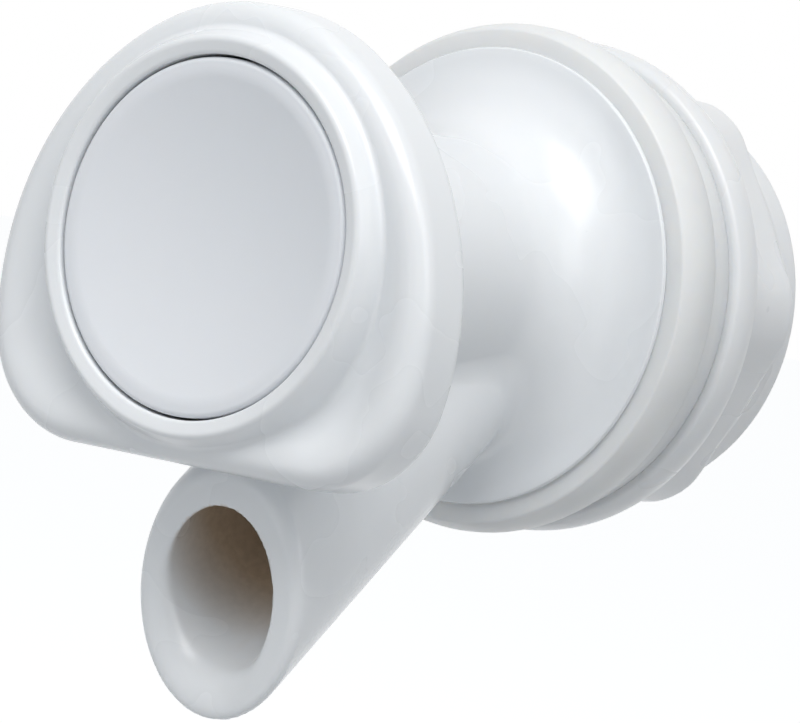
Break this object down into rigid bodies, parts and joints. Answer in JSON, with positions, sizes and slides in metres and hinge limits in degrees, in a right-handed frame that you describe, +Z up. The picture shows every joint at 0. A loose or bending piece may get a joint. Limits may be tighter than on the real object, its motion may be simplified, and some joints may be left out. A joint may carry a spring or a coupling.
{
  "type": "cooler spigot",
  "caption": "Push-button drinks cooler spigot with a thumb button, finger plate, slanted spout, threaded shank, gaskets and flanged lock nut.",
  "frame": {"origin": "on the main axis, at the plane where the front gasket meets the cooler's wall", "axes": "+Y along the main axis into the cooler, +Z up, +X to the right as seen from the button's side"},
  "size_m": [0.0426, 0.067, 0.058],
  "materials": {
    "body_plastic": "glossy cool white moulded plastic",
    "button_plastic": "satin gloss cool white moulded plastic",
    "stem_plastic": "plain white acetal",
    "nut_plastic": "glossy natural milky plastic",
    "gasket_rubber": "smooth milky off-white rubber",
    "seal_rubber": "smooth off-white rubber",
    "o_ring_rubber": "black rubber",
    "steel": "bright stainless steel"
  },
  "bodies": {
    "spigot": {"spigot_body": "body_plastic", "front_gasket": "gasket_rubber", "gland_washer": "stem_plastic", "stem_o_ring": "o_ring_rubber", "return_spring": "steel"},
    "plunger": {"button": "button_plastic", "stem": "stem_plastic", "valve_seal": "seal_rubber", "seal_washer": "steel", "push_nut": "steel"},
    "washer_carriage": {"rear_gasket": "gasket_rubber"},
    "nut": {"lock_nut": "nut_plastic"}
  },
  "joints": [
    {"name": "button_press", "type": "slide", "parent": "spigot", "child": "plunger", "axis": [0, 1, 0], "range_m": [0, 0.0045], "stiffness_N_per_m": 600, "springref_m": -0.006, "deforming": ["return_spring"]},
    {"name": "nut_travel", "type": "slide", "parent": "spigot", "child": "washer_carriage", "axis": [0, 1, 0], "range_m": [0, 0.0121]},
    {"name": "nut_turn", "type": "hinge", "parent": "washer_carriage", "child": "nut", "pos_m": [0, 0, 0], "axis": [0, 1, 0], "range_deg": [0, 1728]}
  ],
  "couplings": [
    {"joint": "nut_travel", "follows": "nut_turn", "m_per_rad": 0.00039789}
  ]
}
